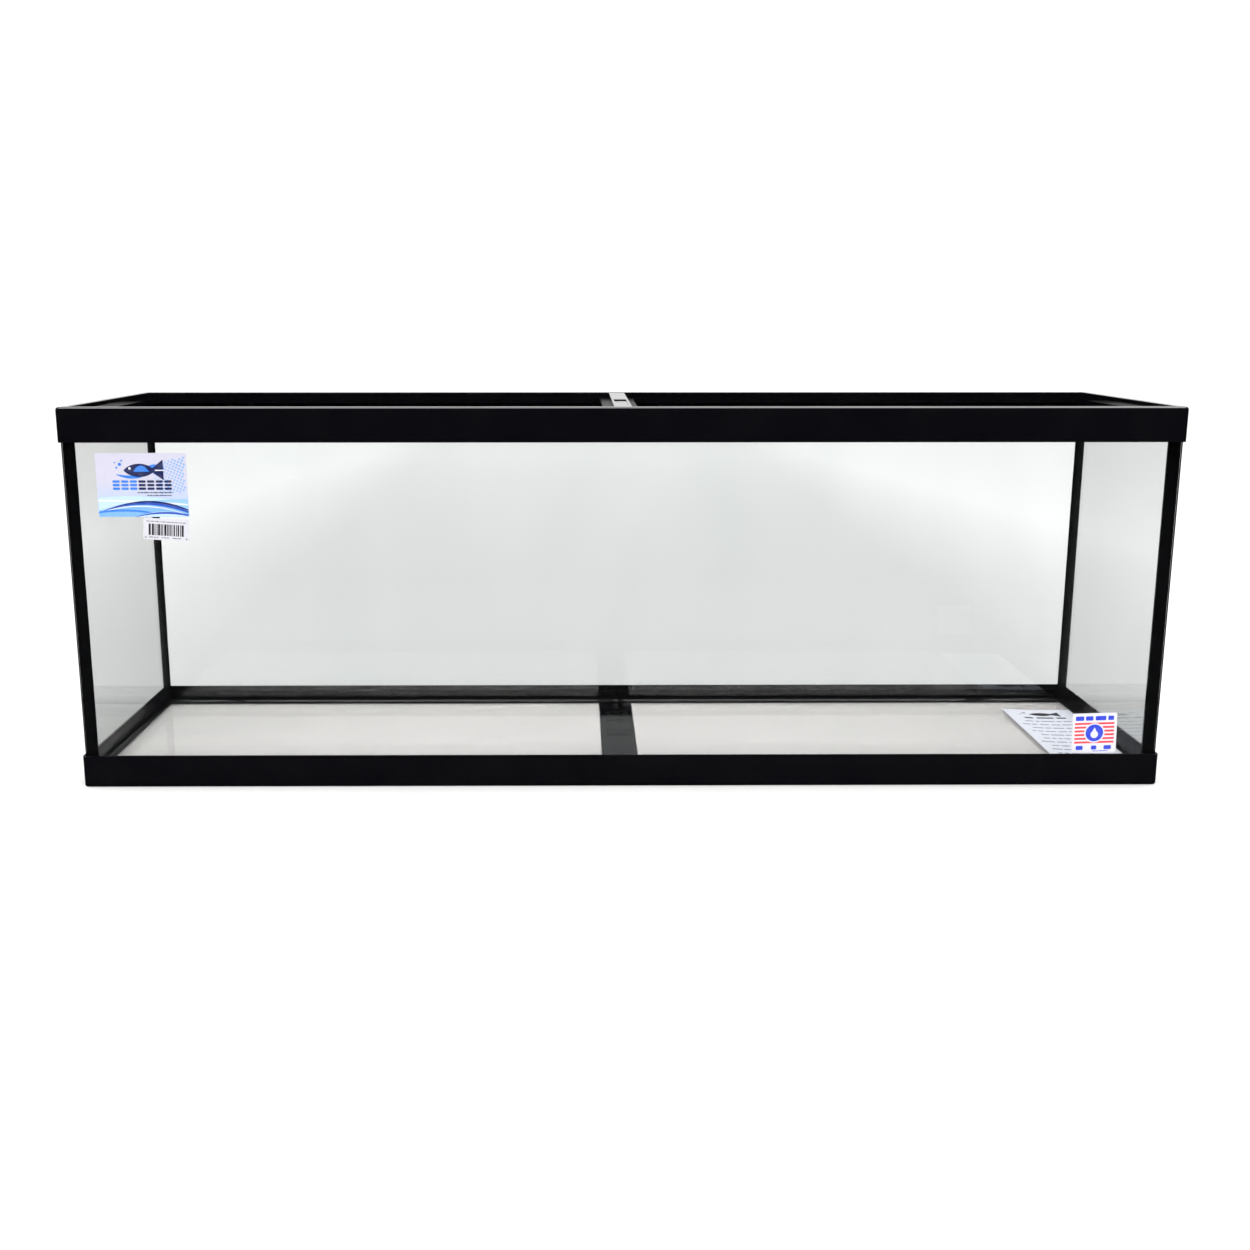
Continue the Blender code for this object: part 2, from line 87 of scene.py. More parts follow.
class NodeSheet:
    """The node tree of one material, filled through a single function."""

    def __init__(self, tree: bpy.types.NodeTree) -> None:
        """Start from an empty tree."""
        self.tree = tree
        tree.nodes.clear()

    def add(
        self,
        kind: str,
        settings: dict[str | int, object] | None = None,
        links: dict[str | int, object] | None = None,
    ) -> bpy.types.Node:
        """Add a node with its settings and links.

        Args:
            kind: the node's type without its "ShaderNode" prefix.
            settings: properties of the node, or values of its inputs by name or number.
            links: inputs by name or number, each with the node or output that feeds it.

        Returns:
            The new node.
        """
        node = self.tree.nodes.new(f"ShaderNode{kind}")
        for key, value in (settings or {}).items():
            if isinstance(key, str) and key in node.bl_rna.properties:
                setattr(node, key, value)
            else:
                node.inputs[key].default_value = value
        for key, source in (links or {}).items():
            socket = source.outputs[0] if isinstance(source, bpy.types.Node) else source
            self.tree.links.new(socket, node.inputs[key])
        return node


def new_sheet(name: str) -> tuple[bpy.types.Material, NodeSheet]:
    """Make an empty material.

    Args:
        name: the material's name.

    Returns:
        The material and its node sheet.
    """
    material = bpy.data.materials.new(name)
    material.use_nodes = True
    return material, NodeSheet(material.node_tree)


def finish_sheet(sheet: NodeSheet, shader: bpy.types.Node) -> None:
    """Send a shader to the material's output."""
    sheet.add("OutputMaterial", links={"Surface": shader})


class Run(Enum):
    """The direction that a piece runs in, as the stretch of a pattern that follows it."""

    ALONG = (0.12, 1.0, 1.0)
    ACROSS = (1.0, 0.12, 1.0)
    UPRIGHT = (1.0, 1.0, 0.12)
    NONE = (1.0, 1.0, 1.0)


@dataclass(frozen=True)
class MouldedPolystyrene:
    """High-impact polystyrene, injection moulded in a polished tool and dyed black.

    It gives the eye a deep black with a soft sheen, a faint orange peel, cloudy changes of gloss
    where the melt flowed, and a little dust.
    """

    name: str = "moulded_black_polystyrene"
    dark: str = "#060509"
    light: str = "#0c0b0f"
    dust: str = "#6a696f"
    flow_mm: float = 60.0
    peel_mm: float = 5.0
    grain_mm: float = 0.8
    dust_pitch_mm: float = 16.0
    dust_size: float = 0.018
    gloss: tuple[float, float] = (0.04, 0.13)
    matt_band_mm: tuple[float, float] | None = None
    matt_reach_mm: float = 150.0
    matt: float = 0.34

    def material(self) -> bpy.types.Material:
        """Build the plastic.

        Returns:
            The material.
        """
        material, sheet = new_sheet(self.name)
        place = sheet.add("TexCoord").outputs["Object"]
        flow = sheet.add(
            "TexNoise", {"Scale": per_mm(self.flow_mm), "Detail": 3.0, "Distortion": 0.6}, {"Vector": place}
        )
        peel = sheet.add("TexNoise", {"Scale": per_mm(self.peel_mm), "Detail": 2.0}, {"Vector": place})
        grain = sheet.add("TexNoise", {"Scale": per_mm(self.grain_mm), "Detail": 2.0}, {"Vector": place})
        cells = sheet.add("TexVoronoi", {"Scale": per_mm(self.dust_pitch_mm)}, {"Vector": place})
        specks = sheet.add(
            "MapRange",
            {"From Min": self.dust_size * 0.6, "From Max": self.dust_size, "To Min": 0.55, "To Max": 0.0},
            {"Value": cells.outputs["Distance"]},
        )
        body = sheet.add(
            "Mix",
            {"data_type": "RGBA", 6: linear(self.dark), 7: linear(self.light)},
            {0: flow.outputs[0]},
        )
        dusty = sheet.add(
            "Mix",
            {"data_type": "RGBA", 7: linear(self.dust)},
            {0: specks, 6: body.outputs[2]},
        )
        gloss = sheet.add(
            "MapRange",
            {"From Min": 0.3, "From Max": 0.7, "To Min": self.gloss[0], "To Max": self.gloss[1]},
            {"Value": flow.outputs[0]},
        )
        rough = sheet.add(
            "Math", {"operation": "MULTIPLY_ADD", 1: 0.03}, {0: grain.outputs[0], 2: gloss.outputs[0]}
        )
        roughness = rough.outputs[0]
        if self.matt_band_mm:
            roughness = self.matt_band(sheet, place, roughness)
        height = sheet.add(
            "Math", {"operation": "MULTIPLY_ADD", 1: 0.25}, {0: grain.outputs[0], 2: peel.outputs[0]}
        )
        bump = sheet.add("Bump", {"Strength": 0.06, "Distance": 0.06 * MM}, {"Height": height})
        shader = sheet.add(
            "BsdfPrincipled",
            {"IOR": 1.59},
            {"Base Color": dusty.outputs[2], "Roughness": roughness, "Normal": bump},
        )
        finish_sheet(sheet, shader)
        return material

    def matt_band(self, sheet: NodeSheet, place: object, roughness: object) -> object:
        """Leave the plastic matt between two distances from the middle of the tank.

        Args:
            sheet: the material's nodes.
            place: the output that gives a point's place.
            roughness: the output that gives the roughness elsewhere.

        Returns:
            The output that gives the roughness everywhere.
        """
        near, far = self.matt_band_mm
        split = sheet.add("SeparateXYZ", links={0: place})
        off = sheet.add("Math", {"operation": "ABSOLUTE"}, {0: split.outputs["X"]})
        inside = sheet.add("Math", {"operation": "GREATER_THAN", 1: near * MM}, {0: off})
        before = sheet.add("Math", {"operation": "LESS_THAN", 1: far * MM}, {0: off})
        width = sheet.add("Math", {"operation": "MULTIPLY"}, {0: inside, 1: before})
        deep = sheet.add("Math", {"operation": "ABSOLUTE"}, {0: split.outputs["Y"]})
        within = sheet.add("Math", {"operation": "LESS_THAN", 1: self.matt_reach_mm * MM}, {0: deep})
        band = sheet.add("Math", {"operation": "MULTIPLY"}, {0: width, 1: within})
        mixed = sheet.add("Mix", {"data_type": "FLOAT", 3: self.matt}, {0: band, 2: roughness})
        return mixed.outputs[0]


@dataclass(frozen=True)
class FloatGlass:
    """Soda-lime float glass, cut and seamed, 6 mm thick.

    It gives the eye a clear pane with a trace of green, faint wiping smears and a slow ripple.
    """

    name: str = "float_glass"
    clean: str = "#f9fafa"
    smeared: str = "#f5f7f7"
    lamp: str = "#f2f5f4"
    smear_mm: float = 210.0
    ripple_mm: float = 240.0

    def material(self) -> bpy.types.Material:
        """Build the glass.

        Returns:
            The material.
        """
        material, sheet = new_sheet(self.name)
        place = sheet.add("TexCoord").outputs["Object"]
        turned = sheet.add(
            "Mapping", {"Rotation": (0.3, 0.5, 0.9), "Scale": (1.0, 1.6, 0.55)}, {"Vector": place}
        )
        smear = sheet.add(
            "TexNoise", {"Scale": per_mm(self.smear_mm), "Detail": 4.0, "Distortion": 1.1}, {"Vector": turned}
        )
        share = sheet.add("MapRange", {"From Min": 0.42, "From Max": 0.72}, {"Value": smear.outputs[0]})
        tint = sheet.add(
            "Mix",
            {"data_type": "RGBA", 6: linear(self.clean), 7: linear(self.smeared)},
            {0: share},
        )
        ripple = sheet.add("TexNoise", {"Scale": per_mm(self.ripple_mm), "Detail": 1.0}, {"Vector": place})
        bump = sheet.add("Bump", {"Strength": 0.05, "Distance": 0.03 * MM}, {"Height": ripple.outputs[0]})
        glass = sheet.add(
            "BsdfPrincipled",
            {"Roughness": 0.0, "IOR": 1.52, "Transmission Weight": 1.0},
            {"Base Color": tint.outputs[2], "Normal": bump},
        )
        lamp = sheet.add("BsdfTransparent", {"Color": linear(self.lamp)})
        path = sheet.add("LightPath")
        both = sheet.add("MixShader", links={0: path.outputs["Is Shadow Ray"], 1: glass, 2: lamp})
        finish_sheet(sheet, both)
        return material


@dataclass(frozen=True)
class CuredSilicone:
    """Black acetoxy silicone, gunned into a joint, drawn off with a thumb and cured.

    It gives the eye a wet-looking rubbery black with lumps, drag lines along the joint and a
    gloss that changes along them.
    """

    name: str
    run: Run = Run.NONE
    dark: str = "#050507"
    light: str = "#0e0e10"
    lump_mm: float = 9.0
    drag_mm: float = 1.6
    gloss: tuple[float, float] = (0.04, 0.14)
    lump_strength: float = 0.2
    specular: float = 0.22

    def material(self) -> bpy.types.Material:
        """Build the silicone.

        Returns:
            The material.
        """
        material, sheet = new_sheet(self.name)
        place = sheet.add("TexCoord").outputs["Object"]
        drawn = sheet.add("Mapping", {"Scale": self.run.value}, {"Vector": place})
        lumps = sheet.add("TexNoise", {"Scale": per_mm(self.lump_mm), "Detail": 2.0}, {"Vector": place})
        drag = sheet.add("TexNoise", {"Scale": per_mm(self.drag_mm), "Detail": 3.0}, {"Vector": drawn})
        tone = sheet.add(
            "Mix",
            {"data_type": "RGBA", 6: linear(self.dark), 7: linear(self.light)},
            {0: drag.outputs[0]},
        )
        gloss = sheet.add(
            "MapRange",
            {"From Min": 0.35, "From Max": 0.65, "To Min": self.gloss[0], "To Max": self.gloss[1]},
            {"Value": lumps.outputs[0]},
        )
        height = sheet.add(
            "Math", {"operation": "MULTIPLY_ADD", 1: 0.3}, {0: drag.outputs[0], 2: lumps.outputs[0]}
        )
        bump = sheet.add("Bump", {"Strength": self.lump_strength, "Distance": 0.5 * MM}, {"Height": height})
        shader = sheet.add(
            "BsdfPrincipled",
            {"IOR": 1.41, "Specular IOR Level": self.specular},
            {"Base Color": tone.outputs[2], "Roughness": gloss.outputs[0], "Normal": bump},
        )
        finish_sheet(sheet, shader)
        return material


@dataclass(frozen=True)
class CoatedPaper:
    """Clay-coated paper, calendered, as labels and leaflets are printed on.

    It gives the eye an even pale sheet with a faint cloudiness and a low sheen. The colour may
    fade from one end of a height range to the other, as a printed wash does.
    """

    name: str
    top: str
    bottom: str
    fade: tuple[float, float] = (0.0, 1.0)
    cloud_mm: float = 6.0
    fibre_mm: float = 0.5
    roughness: float = 0.42

    def material(self) -> bpy.types.Material:
        """Build the paper.

        Returns:
            The material.
        """
        material, sheet = new_sheet(self.name)
        place = sheet.add("TexCoord").outputs["Object"]
        split = sheet.add("SeparateXYZ", links={0: place})
        share = sheet.add(
            "MapRange",
            {"interpolation_type": "SMOOTHSTEP", "From Min": self.fade[0], "From Max": self.fade[1]},
            {"Value": split.outputs["Z"]},
        )
        wash = sheet.add(
            "Mix",
            {"data_type": "RGBA", 6: linear(self.bottom), 7: linear(self.top)},
            {0: share},
        )
        cloud = sheet.add("TexNoise", {"Scale": per_mm(self.cloud_mm), "Detail": 4.0}, {"Vector": place})
        dim = sheet.add(
            "MapRange", {"From Min": 0.3, "From Max": 0.7, "To Min": 0.0, "To Max": 0.07}, {"Value": cloud}
        )
        tone = sheet.add(
            "Mix",
            {"data_type": "RGBA", "blend_type": "MULTIPLY", 7: linear("#c9cad6")},
            {0: dim, 6: wash.outputs[2]},
        )
        fibre = sheet.add("TexNoise", {"Scale": per_mm(self.fibre_mm), "Detail": 2.0}, {"Vector": place})
        bump = sheet.add("Bump", {"Strength": 0.1, "Distance": 0.03 * MM}, {"Height": fibre.outputs[0]})
        rough = sheet.add(
            "Math", {"operation": "MULTIPLY_ADD", 1: 0.1, 2: self.roughness}, {0: fibre.outputs[0]}
        )
        shader = sheet.add(
            "BsdfPrincipled",
            {"IOR": 1.5, "Specular IOR Level": 0.2},
            {"Base Color": tone.outputs[2], "Roughness": rough, "Normal": bump},
        )
        finish_sheet(sheet, shader)
        return material


class Ink(Enum):
    """The inks on the printed sheets, by their colour."""

    NAVY = "#141f52"
    ROYAL = "#2149ae"
    BRIGHT = "#2f78d8"
    SKY = "#74a8e8"
    PALE = "#8db9ee"
    MIST = "#b7d0f3"
    WHITE = "#d6d8e2"
    CODE = "#1c1b1f"
    CODE_FINE = "#77767c"
    SIGNAL_BLUE = "#2a3fd0"
    SIGNAL_RED = "#ee3b46"
    FAINT = "#8f91a2"
    SLATE = "#4a4f5e"


@dataclass(frozen=True)
class PrintedInk:
    """Offset ink on coated paper.

    It gives the eye a flat clean colour whose density drifts slightly, with a satin sheen.
    """

    ink: Ink
    drift_mm: float = 9.0
    roughness: float = 0.36

    def material(self) -> bpy.types.Material:
        """Build the ink.

        Returns:
            The material.
        """
        material, sheet = new_sheet(f"offset_ink_{self.ink.name.lower()}")
        place = sheet.add("TexCoord").outputs["Object"]
        drift = sheet.add("TexNoise", {"Scale": per_mm(self.drift_mm), "Detail": 3.0}, {"Vector": place})
        thin = sheet.add(
            "MapRange", {"From Min": 0.35, "From Max": 0.75, "To Min": 0.0, "To Max": 0.05}, {"Value": drift}
        )
        tone = sheet.add(
            "Mix",
            {"data_type": "RGBA", 6: linear(self.ink.value), 7: linear("#e9ebf7")},
            {0: thin},
        )
        rough = sheet.add(
            "Math", {"operation": "MULTIPLY_ADD", 1: 0.1, 2: self.roughness}, {0: drift.outputs[0]}
        )
        shader = sheet.add(
            "BsdfPrincipled",
            {"IOR": 1.5, "Specular IOR Level": 0.2},
            {"Base Color": tone.outputs[2], "Roughness": rough},
        )
        finish_sheet(sheet, shader)
        return material


# --------------------------------------------------------------------------- mesh helpers


def dress(node: str, material: bpy.types.Material) -> None:
    """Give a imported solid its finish.

    Args:
        node: the solid's name.
        material: its finish.
    """
    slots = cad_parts[node].material_slots
    for slot in slots:
        slot.material = material


def merged_copy(node: str) -> bmesh.types.BMesh:
    """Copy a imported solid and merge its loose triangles.

    Args:
        node: the solid's name.

    Returns:
        A closed bmesh.
    """
    bm = bmesh.new()
    bm.from_mesh(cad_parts[node].data)
    bmesh.ops.remove_doubles(bm, verts=bm.verts[:], dist=0.002 * MM)
    bmesh.ops.dissolve_limit(bm, angle_limit=math.radians(0.5), verts=bm.verts[:], edges=bm.edges[:])
    return bm


def finished(
    name: str, bm: bmesh.types.BMesh, body: str, materials: list[bpy.types.Material]
) -> bpy.types.Object:
    """Turn a bmesh into a piece that rides on a body.

    Args:
        name: the piece's name.
        bm: its mesh, already in place.
        body: the body that it rides on.
        materials: its materials, in the order of the mesh's material numbers.

    Returns:
        The piece.
    """
    mesh = bpy.data.meshes.new(name)
    bm.to_mesh(mesh)
    bm.free()
    piece = bpy.data.objects.new(name, mesh)
    for material in materials:
        mesh.materials.append(material)
    bpy.context.scene.collection.objects.link(piece)
    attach(piece, body)
    return piece


def shade_soft(piece: bpy.types.Object, sharp_deg: float) -> None:
    """Shade a piece smooth and keep edges sharper than an angle.

    Args:
        piece: the piece.
        sharp_deg: the angle in degrees.
    """
    piece.data.shade_smooth()
    piece.data.set_sharp_from_angle(angle=math.radians(sharp_deg))


# --------------------------------------------------------------------------- frames and glass


@dataclass
class TopFrame:
    """The top moulding, with its lid ledge and centre brace."""

    strip_half_mm: float = 9.75
    brace_half_mm: float = 22.0

    def build(self) -> None:
        """Dress the moulding. The flanges beside the brace's polished strip are left matt."""
        band = (self.strip_half_mm, self.brace_half_mm)
        plastic = MouldedPolystyrene(name="moulded_black_polystyrene_top", matt_band_mm=band)
        dress("top_frame", plastic.material())


@dataclass
class BottomFrame:
    """The bottom moulding, with its shelf, ribs and centre brace."""

    def build(self) -> None:
        """Dress the moulding."""
        plastic = MouldedPolystyrene(name="moulded_black_polystyrene_base", light="#0e0d11")
        dress("bottom_frame", plastic.material())


@dataclass
class Glazing:
    """The five panes."""

    panes: tuple[str, ...] = ("front_pane", "back_pane", "left_pane", "right_pane", "bottom_pane")

    def build(self) -> None:
        """Dress every pane."""
        glass = FloatGlass().material()
        for pane in self.panes:
            dress(pane, glass)


# --------------------------------------------------------------------------- silicone


# The pane whose face a bead lies on, by axis number and the direction from the glass to the bead.
GLASS_BEHIND: dict[tuple[int, int], str] = {
    (0, 1): "left_pane",
    (0, -1): "right_pane",
    (1, 1): "front_pane",
    (1, -1): "back_pane",
    (2, 1): "bottom_pane",
}


@dataclass
class Bead:
    """One inner joint, drawn off by hand, so its face is lumpy and its edges wander.

    wall and base are the two glass faces that it fills the corner of, each as an axis number and
    the sign of the direction away from the glass. near_glass and off_glass are in gaps between the
    silicone and the glass, and edge_share is the share of a leg past which a point is on its edge.
    """

    node: str
    run: Run
    wall: tuple[int, int]
    base: tuple[int, int]
    pitch: float = 3.0 * MM
    gap: float = 0.3 * MM
    bulge: float = 0.16 * MM
    wander: float = 0.22 * MM
    calm_end: float = 5.0 * MM
    calm_start: float = 0.6
    near_glass: float = 1.3
    off_glass: float = 0.9
    edge_share: float = 0.8

    def axis(self) -> int:
        """The number of the axis that the bead runs along."""
        return 3 - self.wall[0] - self.base[0]

    def faces_of_glass(self) -> tuple[float, float]:
        """Find where the two glass faces lie along their own axes.

        Returns:
            The place of the wall's face and of the base's.
        """
        places = []
        for axis, side in (self.wall, self.base):
            low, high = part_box(GLASS_BEHIND[(axis, side)])
            places.append(high[axis] if side > 0 else low[axis])
        return places[0], places[1]

    def build(self) -> bpy.types.Object:
        """Slice the solid along its run, then move its free face and its two edges.

        Returns:
            The bead.
        """
        bm = merged_copy(self.node)
        axis = self.axis()
        low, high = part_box(self.node)
        start, end = low[axis], high[axis]
        normal = Vector((0, 0, 0))
        normal[axis] = 1
        for step in range(1, int((end - start) / self.pitch)):
            middle = Vector((0, 0, 0))
            middle[axis] = start + step * self.pitch
            geometry = bm.verts[:] + bm.edges[:] + bm.faces[:]
            bmesh.ops.bisect_plane(bm, geom=geometry, plane_co=middle, plane_no=normal, dist=0.01 * MM)
        self.roughen(bm, axis, start, end)
        silicone = CuredSilicone(f"silicone_{self.node}", self.run).material()
        piece = finished(f"{self.node}_drawn", bm, "tank", [silicone])
        shade_soft(piece, 42)
        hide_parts(self.node)
        return piece

    def roughen(self, bm: bmesh.types.BMesh, axis: int, start: float, end: float) -> None:
        """Move the free face in and out, and each edge along its glass.

        Args:
            bm: the sliced bead.
            axis: the axis that it runs along.
            start: where it starts on that axis.
            end: where it ends.
        """
        wall_at, base_at = self.faces_of_glass()
        legs = [0.0, 0.0]
        inside = []
        for vert in bm.verts:
            off_wall = (vert.co[self.wall[0]] - wall_at) * self.wall[1]
            off_base = (vert.co[self.base[0]] - base_at) * self.base[1]
            if min(off_wall, off_base) > self.off_glass * self.gap:
                inside.append((vert, off_wall, off_base))
                legs = [max(legs[0], off_wall), max(legs[1], off_base)]
        for vert, off_wall, off_base in inside:
            calm = min(vert.co[axis] - start, end - vert.co[axis]) / self.calm_end
            calm = max(0.0, min(1.0, calm - self.calm_start))
            lump = noise.noise(vert.co * per_mm(9.0)) + 0.5 * noise.noise(vert.co * per_mm(3.1))
            drift = noise.noise(vert.co * per_mm(40.0)) + 0.2 * noise.noise(vert.co * per_mm(12.0))
            on_wall = off_wall < self.near_glass * self.gap
            on_base = off_base < self.near_glass * self.gap
            if on_wall and off_base > self.edge_share * legs[1]:
                vert.co[self.base[0]] += self.base[1] * calm * self.wander * drift
            elif on_base and off_wall > self.edge_share * legs[0]:
                vert.co[self.wall[0]] += self.wall[1] * calm * self.wander * drift
            elif not on_wall and not on_base:
                push = calm * self.bulge * lump
                vert.co[self.wall[0]] += self.wall[1] * push
                vert.co[self.base[0]] += self.base[1] * push


@dataclass
class Joints:
    """All the silicone between the panes."""

    def beads(self) -> list[Bead]:
        """List the inner beads.

        Returns:
            The eight beads, not yet built.
        """
        found = [
            Bead("bottom_seal_front", Run.ALONG, (1, 1), (2, 1)),
            Bead("bottom_seal_back", Run.ALONG, (1, -1), (2, 1)),
            Bead("bottom_seal_left", Run.ACROSS, (0, 1), (2, 1)),
            Bead("bottom_seal_right", Run.ACROSS, (0, -1), (2, 1)),
        ]
        for end_name, side_x in (("left", 1), ("right", -1)):
            for front_name, side_y in (("front", 1), ("back", -1)):
                node = f"corner_seal_{front_name}_{end_name}"
                found.append(Bead(node, Run.UPRIGHT, (0, side_x), (1, side_y)))
        return found

    def build(self) -> None:
        """Build every bead."""
        for bead in self.beads():
            piece = bead.build()
            log.info("%s: %d faces", piece.name, len(piece.data.polygons))


@dataclass
class FrameAdhesive:
    """The silicone that beds the panes in the two frames, and the dabs on the bottom brace."""

    sides: tuple[str, ...] = ("front", "back", "left", "right")
    dabs: tuple[str, ...] = ("front", "middle", "rear")
    outline_steps: int = 72
    ragged: float = 0.16

    def build(self) -> None:
        """Dress the beds and press out the dabs."""
        bedding = CuredSilicone(
            "silicone_bedding", Run.NONE, gloss=(0.2, 0.4), lump_strength=0.15, specular=0.1
        )
        material = bedding.material()
        for level in ("top", "bottom"):
            for side in self.sides:
                dress(f"{level}_adhesive_{side}", material)
        for name in self.dabs:
            piece = self.pressed_dab(f"brace_adhesive_{name}", material)
            log.info("%s: %d faces", piece.name, len(piece.data.polygons))

    def pressed_dab(self, node: str, material: bpy.types.Material) -> bpy.types.Object:
        """A dab squeezed flat between the brace and the glass, with a ragged outline.

        Args:
            node: the solid that it stands for.
            material: its finish.

        Returns:
            The dab.
        """
        low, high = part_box(node)
        size, middle = high - low, (low + high) / 2
        bm = bmesh.new()
        bmesh.ops.create_circle(bm, cap_ends=True, segments=self.outline_steps, radius=0.5)
        seed = Vector((len(node), middle.y * 20, 0))
        for vert in bm.verts:
            square = max(abs(vert.co.x), abs(vert.co.y)) * 2
            reach = 1 / max(square, 0.7) ** 0.75
            ragged = 1 - self.ragged * (0.5 + noise.noise(vert.co * 3.3 + seed))
            ragged -= 0.4 * self.ragged * (0.5 + noise.noise(vert.co * 9 + seed))
            vert.co = vert.co * min(reach * ragged, 1 / max(square, 1e-6))
        top = bmesh.ops.extrude_face_region(bm, geom=bm.faces[:])["geom"]
        bmesh.ops.translate(bm, vec=(0, 0, 1), verts=[v for v in top if isinstance(v, bmesh.types.BMVert)])
        place = Matrix.Translation((middle.x, middle.y, low.z)) @ Matrix.Diagonal((*size, 1))
        bmesh.ops.transform(bm, matrix=place, verts=bm.verts[:])
        bmesh.ops.recalc_face_normals(bm, faces=bm.faces[:])
        piece = finished(f"{node}_pressed", bm, "tank", [material])
        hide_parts(node)
        return piece


# --------------------------------------------------------------------------- printed sheets


@dataclass
class Print:
    """Printed shapes on a sheet, drawn in millimetres from the sheet's middle.

    Shapes lie on thin layers, one over another, so that later layers cover earlier ones.
    """

    name: str
    half_mm: tuple[float, float]
    film: float = 0.010 * MM
    lift: float = 0.03 * MM
    bm: bmesh.types.BMesh = field(default_factory=bmesh.new)
    inks: list[Ink] = field(default_factory=list)
    layer: int = 0

    def put(self, faces: list[bmesh.types.BMFace], ink: Ink) -> None:
        """Ink some new faces and lift them to the current layer.

        Args:
            faces: the faces, flat at height 0.
            ink: their ink.
        """
        if ink not in self.inks:
            self.inks.append(ink)
        height = (self.lift + self.layer * self.film) / MM
        for face in faces:
            face.material_index = self.inks.index(ink)
            for vert in face.verts:
                vert.co.z = height

    def next_layer(self) -> None:
        """Print what follows over what is there."""
        self.layer += 1

    def block(self, x: float, y: float, width: float, height: float, ink: Ink, round_mm: float = 0.0) -> None:
        """A rectangle centred at (x, y), with its corners rounded.

        Args:
            x: its middle, to the right.
            y: its middle, upwards.
            width: its width.
            height: its height.
            ink: its ink.
            round_mm: the radius of its corners.
        """
        place = Matrix.Translation((x, y, 0)) @ Matrix.Diagonal((width / 2, height / 2, 1, 1))
        made = bmesh.ops.create_grid(self.bm, x_segments=1, y_segments=1, size=1, matrix=place)["verts"]
        faces = list({face for vert in made for face in vert.link_faces})
        if round_mm:
            cut = bmesh.ops.bevel(
                self.bm,
                geom=made,
                offset=min(round_mm, 0.49 * min(width, height)),
                offset_type="OFFSET",
                affect="VERTICES",
                segments=4,
                profile=0.5,
                material=-1,
            )
            faces = list({face for vert in cut["verts"] for face in vert.link_faces})
        self.put(faces, ink)

    def disc(self, x: float, y: float, radius: float, ink: Ink, segments: int = 24) -> None:
        """A round spot.

        Args:
            x: its middle, to the right.
            y: its middle, upwards.
            radius: its radius.
            ink: its ink.
            segments: how many sides it has.
        """
        made = bmesh.ops.create_circle(
            self.bm, cap_ends=True, segments=segments, radius=radius, matrix=Matrix.Translation((x, y, 0))
        )["verts"]
        self.put(list({face for vert in made for face in vert.link_faces}), ink)

    def ribbon(
        self,
        start: float,
        end: float,
        lower: Callable[[float], float],
        upper: Callable[[float], float],
        ink: Ink,
        steps: int = 48,
    ) -> None:
        """A shape between two curves, held inside the sheet.

        Args:
            start: where it starts, to the right.
            end: where it ends.
            lower: its lower edge at a distance to the right.
            upper: its upper edge.
            ink: its ink.
            steps: how many pieces its edges have.
        """
        made = bmesh.ops.create_grid(self.bm, x_segments=steps, y_segments=1, size=0.5)["verts"]
        edge = self.half_mm[1] - 0.05
        for vert in made:
            x = start + (vert.co.x + 0.5) * (end - start)
            y = lower(x) if vert.co.y < 0 else max(upper(x), lower(x) + 0.01)
            vert.co.x, vert.co.y = x, max(-edge, min(edge, y))
        self.put(list({face for vert in made for face in vert.link_faces}), ink)

    def words(self, x: float, y: float, width: float, height: float, ink: Ink, seed: int) -> None:
        """A line of dashes that stands in for small print, centred at (x, y).

        Args:
            x: its middle, to the right.
            y: its middle, upwards.
            width: its width.
            height: the height of a dash.
            ink: its ink.
            seed: which of many patterns of dashes it has.
        """
        draw = random.Random(seed)
        at = x - width / 2
        while at < x + width / 2 - height:
            length = min(height * draw.uniform(1.2, 5.0), x + width / 2 - at)
            self.block(at + length / 2, y, length, height, ink)
            at += length + height * draw.uniform(0.5, 0.9)

    def laid(self, place: Matrix, body: str) -> bpy.types.Object:
        """Lay the print on its sheet.

        Args:
            place: carries millimetres on the sheet, with its outer side up, to where it lies.
            body: the body that it rides on.

        Returns:
            The print.
        """
        bmesh.ops.transform(self.bm, matrix=place, verts=self.bm.verts[:])
        materials = [PrintedInk(ink).material() for ink in self.inks]
        return finished(self.name, self.bm, body, materials)


def sheet_place(middle: Vector, turn_deg: float) -> Matrix:
    """Where a print on the front pane lies.

    Args:
        middle: the middle of the sheet's outer face.
        turn_deg: how far it is turned to the left.

    Returns:
        The matrix from millimetres on the sheet to the tank.
    """
    facing = Matrix.Rotation(math.radians(90), 4, "X")
    turn = Matrix.Rotation(math.radians(turn_deg), 4, "Z")
    return Matrix.Translation(middle) @ facing @ turn @ Matrix.Scale(MM, 4)


@dataclass
class FrontLabel:
    """A label stuck on the front pane, dressed and printed."""

    node: str
    width_mm: float
    height_mm: float
    turn_deg: float
    paper: CoatedPaper

    def start(self) -> Print:
        """Dress the label and start its print."""
        dress(self.node, self.paper.material())
        return Print(f"{self.node}_print", (self.width_mm / 2, self.height_mm / 2))

    def lay(self, sheet: Print) -> None:
        """Lay the finished print on the label.

        Args:
            sheet: the print.
        """
        low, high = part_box(self.node)
        middle = Vector(((low.x + high.x) / 2, low.y, (low.z + high.z) / 2))
        piece = sheet.laid(sheet_place(middle, self.turn_deg), "tank")
        log.info("%s: %d faces", piece.name, len(piece.data.polygons))


def arc(rise: float, middle: float, spread: float, foot: float) -> Callable[[float], float]:
    """A hump, as a function of the distance to the right.

    Args:
        rise: its height over its foot.
        middle: where it is highest.
        spread: the distance from there to its foot.
        foot: the height of its foot.

    Returns:
        The function.
    """
    return lambda x: foot + rise * (1 - ((x - middle) / spread) ** 2)


